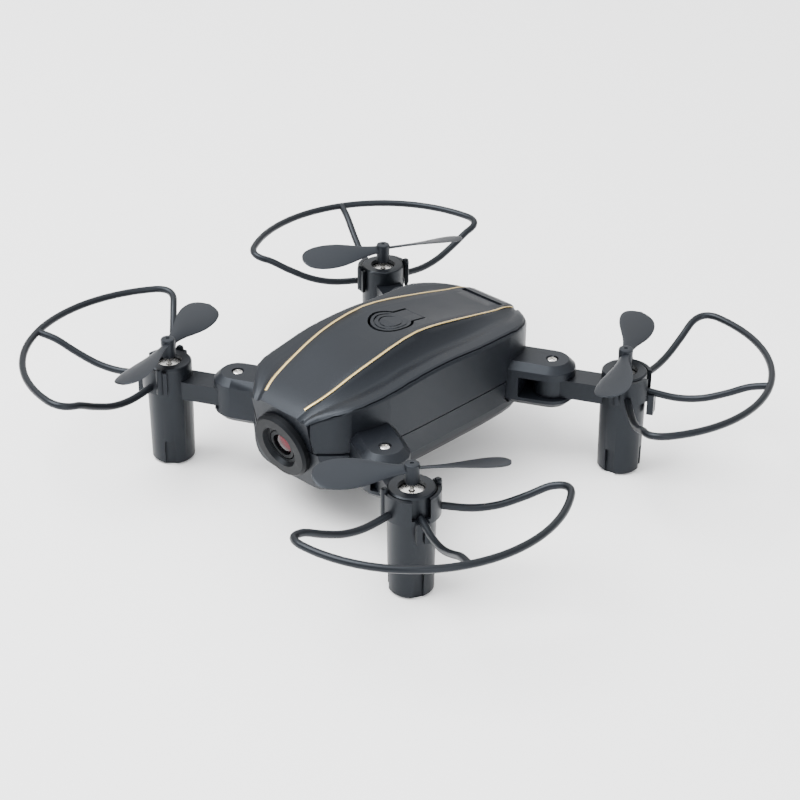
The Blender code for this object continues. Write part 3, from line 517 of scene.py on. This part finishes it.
def dress(node, finish):
    """Give a frame node its material."""
    slots = frame["nodes"][node].data.materials
    for i in range(len(slots)):
        slots[i] = finish


def solder_mask(name):
    made, tree, shader = nodes_of(name)
    node, link = tree.nodes.new, tree.links.new
    place = node("ShaderNodeTexCoord")
    tracks = node("ShaderNodeTexBrick")
    tracks.inputs["Scale"].default_value = TRACK_SCALE
    for label, colour in MASK_COLOURS.items():
        tracks.inputs[label].default_value = colour
    link(place.outputs["Object"], tracks.inputs["Vector"])
    link(tracks.outputs["Color"], shader.inputs["Base Color"])
    shader.inputs["Roughness"].default_value = 0.35
    return made


def battery_pouch(name):
    made, tree, shader = nodes_of(name)
    node, link = tree.nodes.new, tree.links.new
    place = node("ShaderNodeTexCoord")
    wrinkle = node("ShaderNodeTexNoise")
    wrinkle.inputs["Scale"].default_value = WRINKLE_SCALE
    bump = node("ShaderNodeBump")
    bump.inputs["Strength"].default_value = 0.3
    bump.inputs["Distance"].default_value = WRINKLE_DEPTH
    link(place.outputs["Object"], wrinkle.inputs["Vector"])
    link(wrinkle.outputs["Fac"], bump.inputs["Height"])
    link(bump.outputs["Normal"], shader.inputs["Normal"])
    shader.inputs["Base Color"].default_value = POUCH_COLOUR
    shader.inputs["Metallic"].default_value = 0.8
    shader.inputs["Roughness"].default_value = 0.35
    return made


board_mask = solder_mask("board_mask")
dress("main_board", board_mask)
dress("camera_board", board_mask)
dress("battery", battery_pouch("battery_foil"))


# ---------------------------------------------------------------- arms and pods
# Each arm and its motor pod is one satin black moulding, which folds about the hinge screw in its knuckle. A
# cap closes the pod below the motor. The caps and the tact switch are in the same black plastic.

ARM_COLOUR = (0.0035, 0.0042, 0.0057)

arm_plastic = moulded_plastic("arm_plastic", ARM_COLOUR, 0.38, 4200, 0.015 * MM)
dress("tact_switch", arm_plastic)
for corner in CORNERS:
    shown("pod_arm_" + corner, merged("arm_" + corner), arm_plastic, "arm_" + corner)
    dress("pod_cap_" + corner, arm_plastic)


# ---------------------------------------------------------------- guards
# A guard is one springy nylon moulding: a collar that clips round the outer half of the pod, and round wire
# that runs out in three spokes to an arc round the propeller's tip circle.

GUARD_RADIUS = 36.5 * MM
GUARD_SPREAD = math.radians(69)
GUARD_CORNER = 5.0 * MM
GUARD_RING_HEIGHT = 29.8 * MM
WIRE_RADIUS = 0.92 * MM
WIRE_SIDES = 14
SPOKE_START = 0.17
SPOKE_CURVE = ((SPOKE_START, 22.9 * MM), (0.38, 22.3 * MM), (0.55, 23.3 * MM), (0.72, 25.9 * MM),
               (0.86, 28.5 * MM), (1, GUARD_RING_HEIGHT))
SPOKE_STEPS = 26
BEND_STEPS = 12
ARC_STEPS = 60
COLLAR_INNER = 6.05 * MM
COLLAR_WALL = 0.9 * MM
COLLAR_BOTTOM = 21.2 * MM
COLLAR_TOP = 27.6 * MM
COLLAR_SPREAD = math.radians(108)
COLLAR_STEPS = 54
WINDOW_HALF_WIDTH = 2.3 * MM
WINDOW_SILL = 1.4 * MM
LATCH_SIZE = (1.7 * MM, 3.2 * MM, 5.6 * MM)
LATCH_GROOVE = 0.6 * MM
CUT_PAST = 1 * MM
EAR_RADIUS = 1.0 * MM
EAR_ANGLE = math.radians(92)
EAR_TOP = 28.7 * MM
EAR_FOOT = COLLAR_BOTTOM + 0.4 * MM
EAR_SIDES = 24
POD_ROOM_HEIGHT = 40 * MM
POD_ROOM_SIDES = 64


def box_mesh(low_corner, high_corner):
    """A box between two opposite corners."""
    (x0, y0, z0), (x1, y1, z1) = low_corner, high_corner
    return lofted([[(x0, y0, z), (x1, y0, z), (x1, y1, z), (x0, y1, z)] for z in (z0, z1)])


def turned(profile, segments):
    """A (radius, height) profile turned about Z. It starts and ends on the axis."""
    bm = bmesh.new()
    rings = []
    for radius, height in profile:
        if radius == 0:
            rings.append([bm.verts.new((0, 0, height))])
            continue
        angles = [2 * math.pi * i / segments for i in range(segments)]
        rings.append([bm.verts.new((radius * math.cos(a), radius * math.sin(a), height)) for a in angles])
    for one, two in zip(rings, rings[1:]):
        for i in range(segments):
            j = (i + 1) % segments
            if len(one) == 1:
                bm.faces.new((one[0], two[j], two[i]))
            elif len(two) == 1:
                bm.faces.new((one[i], one[j], two[0]))
            else:
                bm.faces.new((one[i], one[j], two[j], two[i]))
    bmesh.ops.recalc_face_normals(bm, faces=bm.faces)
    mesh = bpy.data.meshes.new("turned")
    bm.to_mesh(mesh)
    bm.free()
    return mesh


def combine(base, operation, *tools):
    """Mesh of a Boolean of the base with each tool in turn."""
    body = bpy.data.objects.new("base", base)
    bpy.context.collection.objects.link(body)
    for tool in tools:
        other = bpy.data.objects.new("tool", tool)
        bpy.context.collection.objects.link(other)
        cut = body.modifiers.new("cut", "BOOLEAN")
        cut.operation = operation
        cut.solver = "EXACT"
        cut.object = other
        bpy.context.view_layer.update()
        result = bpy.data.meshes.new_from_object(body.evaluated_get(bpy.context.evaluated_depsgraph_get()))
        body.modifiers.clear()
        body.data = result
        bpy.data.objects.remove(other)
    mesh = body.data
    bpy.data.objects.remove(body)
    return mesh


def wire_tree(finish):
    """Puts round wire with closed ends along each line."""
    tree, sockets, start, end = node_tree("guard_wire", {"Wire radius": "NodeSocketFloat",
                                                         "Sides": "NodeSocketInt"})
    node, link = tree.nodes.new, tree.links.new
    line = node("GeometryNodeMeshToCurve")
    level = node("GeometryNodeSetCurveNormal")
    level.mode = "Z_UP"
    profile = node("GeometryNodeCurvePrimitiveCircle")
    tube = node("GeometryNodeCurveToMesh")
    tube.inputs["Fill Caps"].default_value = True
    made = node("GeometryNodeRealizeInstances")
    paint = node("GeometryNodeSetMaterial")
    paint.inputs["Material"].default_value = finish
    link(start.outputs["Geometry"], line.inputs["Mesh"])
    link(line.outputs["Curve"], level.inputs["Curve"])
    link(start.outputs["Sides"], profile.inputs["Resolution"])
    link(start.outputs["Wire radius"], profile.inputs["Radius"])
    link(level.outputs["Curve"], tube.inputs["Curve"])
    link(profile.outputs["Curve"], tube.inputs["Profile Curve"])
    link(tube.outputs["Mesh"], made.inputs["Geometry"])
    link(made.outputs["Geometry"], paint.inputs["Geometry"])
    link(paint.outputs["Geometry"], end.inputs["Geometry"])
    return tree, sockets


guard_wire, wire_sockets = wire_tree(arm_plastic)


def wire(path):
    """Guard wire along a path."""
    return grown("wire", line_mesh(path), guard_wire, wire_sockets,
                 {"Wire radius": WIRE_RADIUS, "Sides": WIRE_SIDES})


def spoke_point(share, angle):
    """A point on a spoke, at a share of the way from the motor axis to the ring."""
    radius = GUARD_RADIUS * share
    return Vector((radius * math.cos(angle), radius * math.sin(angle), curve_value(SPOKE_CURVE, share)))


def ring_point(angle):
    """A point on the outer arc."""
    return Vector((GUARD_RADIUS * math.cos(angle), GUARD_RADIUS * math.sin(angle), GUARD_RING_HEIGHT))


def guard_mesh():
    """Collar, latch and wires about the motor axis, the spokes pointing along +X."""
    last = 1 - GUARD_CORNER / GUARD_RADIUS
    half = GUARD_SPREAD - GUARD_CORNER / GUARD_RADIUS
    near = [spoke_point(SPOKE_START + (last - SPOKE_START) * i / SPOKE_STEPS, -GUARD_SPREAD)
            for i in range(SPOKE_STEPS)]
    start, corner, stop = spoke_point(last, -GUARD_SPREAD), ring_point(-GUARD_SPREAD), ring_point(-half)
    near += [(1 - u) ** 2 * start + 2 * u * (1 - u) * corner + u * u * stop
             for u in [i / BEND_STEPS for i in range(BEND_STEPS + 1)]]
    arc = [ring_point(-half + 2 * half * i / ARC_STEPS) for i in range(1, ARC_STEPS)]
    far = [Vector((p.x, -p.y, p.z)) for p in reversed(near)]
    rim = wire(near + arc + far)
    middle = wire([spoke_point(SPOKE_START + (1 - SPOKE_START) * i / SPOKE_STEPS, 0)
                   for i in range(SPOKE_STEPS + 1)])
    outer = COLLAR_INNER + COLLAR_WALL
    angles = [-COLLAR_SPREAD + 2 * COLLAR_SPREAD * i / COLLAR_STEPS for i in range(COLLAR_STEPS + 1)]
    outline = [(outer * math.cos(a), outer * math.sin(a)) for a in angles]
    outline += [(COLLAR_INNER * math.cos(a), COLLAR_INNER * math.sin(a)) for a in reversed(angles)]
    collar = lofted([[(x, y, z) for x, y in outline] for z in (COLLAR_BOTTOM, COLLAR_TOP)])
    depth, width, height = LATCH_SIZE
    sill = COLLAR_BOTTOM + WINDOW_SILL
    first = COLLAR_INNER + COLLAR_WALL / 2
    latch = box_mesh((first, -width / 2, sill - height), (first + depth, width / 2, sill))
    groove = box_mesh((outer + depth - 2.2 * LATCH_GROOVE, -LATCH_GROOVE / 2, 0),
                      (outer + 2 * depth, LATCH_GROOVE / 2, COLLAR_BOTTOM - CUT_PAST))
    window = box_mesh((0, -WINDOW_HALF_WIDTH, sill),
                      (2 * outer, WINDOW_HALF_WIDTH, COLLAR_TOP + CUT_PAST))
    ears = []
    for side in (-1, 1):
        ear = turned(((0, EAR_FOOT), (EAR_RADIUS, EAR_FOOT), (EAR_RADIUS, EAR_TOP - 0.8 * MM),
                      (0.85 * EAR_RADIUS, EAR_TOP - 0.25 * MM), (0.5 * EAR_RADIUS, EAR_TOP),
                      (0, EAR_TOP)), EAR_SIDES)
        ear.transform(Matrix.Rotation(side * EAR_ANGLE, 4, "Z") @ Matrix.Translation((first, 0, 0)))
        ears.append(ear)
    pod_room = turned(((0, 0), (COLLAR_INNER, 0), (COLLAR_INNER, POD_ROOM_HEIGHT), (0, POD_ROOM_HEIGHT)),
                      POD_ROOM_SIDES)
    clip = combine(collar, "UNION", latch, *ears)
    clip = combine(clip, "DIFFERENCE", window, groove, pod_room)
    return combine(clip, "UNION", rim, middle)


def joint_place(name):
    """Where a joint is in the frame."""
    return Vector(next(row["pos_m"] for row in frame["joints"] if row["name"] == name))


def pod_place(corner):
    """Frame on a motor's axis whose +X points away from the arm's hinge."""
    hinge, motor = joint_place("fold_" + corner), joint_place("spin_" + corner)
    heading = math.atan2(motor.y - hinge.y, motor.x - hinge.x)
    return Matrix.Translation((motor.x, motor.y, 0)) @ Matrix.Rotation(heading, 4, "Z")


guard = guard_mesh()
for corner in CORNERS:
    mesh = guard.copy()
    mesh.transform(pod_place(corner))
    shown("wire_guard_" + corner, mesh, arm_plastic, "prop_guard_" + corner)


# ---------------------------------------------------------------- motors
# A coreless motor in nickel-plated steel sits in each pod, its bright top in the pod's mouth. Its shaft
# stands up through the can and carries the propeller.

STEEL_COLOUR = (0.72, 0.71, 0.69, 1)
STEEL_ROUGHNESS = (0.17, 0.35)
LATHE_MARK_SCALE = 1500


def plated_steel(name):
    made, tree, shader = nodes_of(name)
    node, link = tree.nodes.new, tree.links.new
    place = node("ShaderNodeTexCoord")
    lathe_marks = node("ShaderNodeTexNoise")
    lathe_marks.inputs["Scale"].default_value = LATHE_MARK_SCALE
    spread = node("ShaderNodeMapRange")
    spread.inputs["To Min"].default_value = STEEL_ROUGHNESS[0]
    spread.inputs["To Max"].default_value = STEEL_ROUGHNESS[1]
    link(place.outputs["Object"], lathe_marks.inputs["Vector"])
    link(lathe_marks.outputs["Fac"], spread.inputs["Value"])
    link(spread.outputs["Result"], shader.inputs["Roughness"])
    shader.inputs["Base Color"].default_value = STEEL_COLOUR
    shader.inputs["Metallic"].default_value = 1
    return made


steel = plated_steel("plated_steel")
for corner in CORNERS:
    shown("motor_can_" + corner, merged("motor_" + corner), steel, "motor_" + corner)
    shown("motor_spindle_" + corner, merged("motor_rotor_" + corner), steel, "motor_rotor_" + corner)


# ---------------------------------------------------------------- screws
# Twelve M1.4 self-tapping screws in nickel-plated steel with domed cross-recess heads: four hinge screws,
# four that hold the board to the frame, and four that hold the belly shell, heads down.

SCREW_HEAD_RADIUS = 1.3 * MM
SCREW_RADIUS = 0.7 * MM
SCREW_HEAD_HEIGHT = 0.9 * MM
CROSS_WIDTH = 0.5 * MM
CROSS_REACH = 0.92 * MM
CROSS_DEPTH = 0.6 * MM
CROWN_SHARE = 0.4
CROWN_STEPS = 6
SCREW_SIDES = 28
SCREW_SHARP = math.radians(35)


def screw_mesh(length):
    """Cross-head screw, the crown of its head at the origin."""
    crown = [(SCREW_HEAD_RADIUS * math.sin(a), -CROWN_SHARE * SCREW_HEAD_HEIGHT * (1 - math.cos(a)))
             for a in [math.pi / 2 * i / CROWN_STEPS for i in range(CROWN_STEPS + 1)]]
    profile = crown + [(SCREW_HEAD_RADIUS, -SCREW_HEAD_HEIGHT), (SCREW_RADIUS, -SCREW_HEAD_HEIGHT),
                       (SCREW_RADIUS, -SCREW_HEAD_HEIGHT - length + 0.4 * MM),
                       (0.5 * SCREW_RADIUS, -SCREW_HEAD_HEIGHT - length), (0, -SCREW_HEAD_HEIGHT - length)]
    half = CROSS_WIDTH / 2
    return combine(turned(profile, SCREW_SIDES), "DIFFERENCE",
                   box_mesh((-CROSS_REACH, -half, -CROSS_DEPTH), (CROSS_REACH, half, MM)),
                   box_mesh((-half, -CROSS_REACH, -CROSS_DEPTH), (half, CROSS_REACH, MM)))


def screw_tree(screw, finish):
    """Sets a screw at each point, turned over and about its axis by the given angles."""
    tree, sockets, start, end = node_tree("screw_set", {"Turn over": "NodeSocketFloat",
                                                        "Twist": "NodeSocketFloat"})
    node, link = tree.nodes.new, tree.links.new
    part = node("GeometryNodeObjectInfo")
    part.inputs["Object"].default_value = screw
    index = node("GeometryNodeInputIndex")
    twist = node("ShaderNodeMath")
    twist.operation = "MULTIPLY"
    turn = node("ShaderNodeCombineXYZ")
    spread = node("GeometryNodeInstanceOnPoints")
    made = node("GeometryNodeRealizeInstances")
    paint = node("GeometryNodeSetMaterial")
    paint.inputs["Material"].default_value = finish
    link(start.outputs["Geometry"], spread.inputs["Points"])
    link(part.outputs["Geometry"], spread.inputs["Instance"])
    link(index.outputs["Index"], twist.inputs[0])
    link(start.outputs["Twist"], twist.inputs[1])
    link(start.outputs["Turn over"], turn.inputs["X"])
    link(twist.outputs["Value"], turn.inputs["Z"])
    link(turn.outputs["Vector"], spread.inputs["Rotation"])
    link(spread.outputs["Instances"], made.inputs["Geometry"])
    link(made.outputs["Geometry"], paint.inputs["Geometry"])
    link(paint.outputs["Geometry"], end.inputs["Geometry"])
    return tree, sockets


def screw_set(name, kind, turn_over, twist):
    """The four screws of one kind, each in the place of its frame node."""
    points = []
    for corner in CORNERS:
        low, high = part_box(kind + corner)
        points.append(((low[0] + high[0]) / 2, (low[1] + high[1]) / 2, low[2] if turn_over else high[2]))
    whole = high[2] - low[2]
    screw = bpy.data.objects.new("screw", screw_mesh(whole - SCREW_HEAD_HEIGHT))
    bpy.context.collection.objects.link(screw)
    places = bpy.data.meshes.new("places")
    places.from_pydata(points, [], [])
    tree, sockets = screw_tree(screw, steel)
    mesh = grown(name, places, tree, sockets, {"Turn over": turn_over, "Twist": twist})
    bpy.data.objects.remove(screw)
    mesh.shade_smooth()
    mesh.set_sharp_from_angle(angle=SCREW_SHARP)
    made = bpy.data.objects.new(name, mesh)
    bpy.context.collection.objects.link(made)
    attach(made, "body")
    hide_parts(*[kind + corner for corner in CORNERS])


screw_set("hinge_screws", "hinge_screw_", 0.0, 0.7)
screw_set("board_screws", "board_screw_", 0.0, 0.5)
screw_set("belly_screws", "belly_screw_", math.pi, 0.9)


# ---------------------------------------------------------------- propellers
# Each propeller is one moulding in thin flexible nylon, a little softer in gloss than the arms: two twisted
# blades and a hub that is pressed onto the motor's shaft. The two hands mirror each other.

PROP_RADIUS = 23.0 * MM
HUB_RADIUS = 1.85 * MM
HUB_BOTTOM = 29.0 * MM
HUB_TOP = 34.15 * MM
BLADE_HEIGHT = 32.6 * MM
BLADE_CHORD = 9.4 * MM
BLADE_THICKNESS = 0.8 * MM
ROOT_PITCH = math.radians(30)
TIP_PITCH = math.radians(13)
BLADE_START = 0.04
BLADE_THINNING = 0.4
BLADE_CAMBER = 0.35
CHORD_CURVE = ((BLADE_START, 0.27), (0.14, 0.32), (0.26, 0.45), (0.4, 0.68), (0.55, 0.9), (0.72, 1),
               (0.85, 0.93), (0.94, 0.72), (0.985, 0.42), (1, 0.14))
BLADE_ANGLES = {"front_left": 52.8, "front_right": 111.6, "rear_left": 118.9, "rear_right": 63.3}
BLADE_STEPS = 40
EDGE_POINTS = 9
HUB_SIDES = 32
PROPELLER_COLOUR = (0.0085, 0.0098, 0.0125)


def blade_mesh(hand):
    """Twisted paddle blade along +X with rounded edges; hand is +1 where the edge towards +Y is higher."""
    rings = []
    for i in range(BLADE_STEPS + 1):
        share = BLADE_START + (1 - BLADE_START) * math.sin(math.pi / 2 * i / BLADE_STEPS)
        radius = PROP_RADIUS * share
        half = BLADE_CHORD * curve_value(CHORD_CURVE, share) / 2
        pitch = ROOT_PITCH + (TIP_PITCH - ROOT_PITCH) * share
        thick = BLADE_THICKNESS * (1 - BLADE_THINNING * share) / 2
        ring = []
        for k in range(2 * EDGE_POINTS):
            angle = math.pi * k / EDGE_POINTS
            y = -half * math.cos(angle)
            camber = BLADE_CAMBER * thick * (1 - (y / half) ** 2)
            z = thick * math.sin(angle) + camber
            ring.append((radius, hand * (math.cos(pitch) * y - math.sin(pitch) * z),
                         BLADE_HEIGHT + math.sin(pitch) * y + math.cos(pitch) * z))
        rings.append(ring)
    return lofted(rings)


def propeller_mesh(hand):
    """A propeller about Z: the hub and two opposite blades of one hand."""
    hub = turned(((0, HUB_BOTTOM), (HUB_RADIUS - 0.2 * MM, HUB_BOTTOM),
                  (HUB_RADIUS - 0.1 * MM, HUB_BOTTOM + 0.2 * MM), (HUB_RADIUS, HUB_TOP - 0.5 * MM),
                  (HUB_RADIUS - 0.15 * MM, HUB_TOP - 0.15 * MM), (HUB_RADIUS - 0.5 * MM, HUB_TOP),
                  (0.5 * MM, HUB_TOP), (0.4 * MM, HUB_TOP - 0.3 * MM), (0, HUB_TOP - 0.3 * MM)), HUB_SIDES)
    other = blade_mesh(hand)
    other.transform(Matrix.Rotation(math.pi, 4, "Z"))
    return combine(hub, "UNION", blade_mesh(hand), other)


propeller_plastic = moulded_plastic("propeller_plastic", PROPELLER_COLOUR, 0.42, 3000, 0.01 * MM)
rotors = {1: propeller_mesh(1), -1: propeller_mesh(-1)}
for corner, (side, end) in CORNERS.items():
    mesh = rotors[side * end].copy()
    motor = joint_place("spin_" + corner)
    mesh.transform(Matrix.Translation((motor.x, motor.y, 0))
                   @ Matrix.Rotation(math.radians(BLADE_ANGLES[corner]), 4, "Z"))
    shown("paddle_propeller_" + corner, mesh, propeller_plastic, "propeller_" + corner)
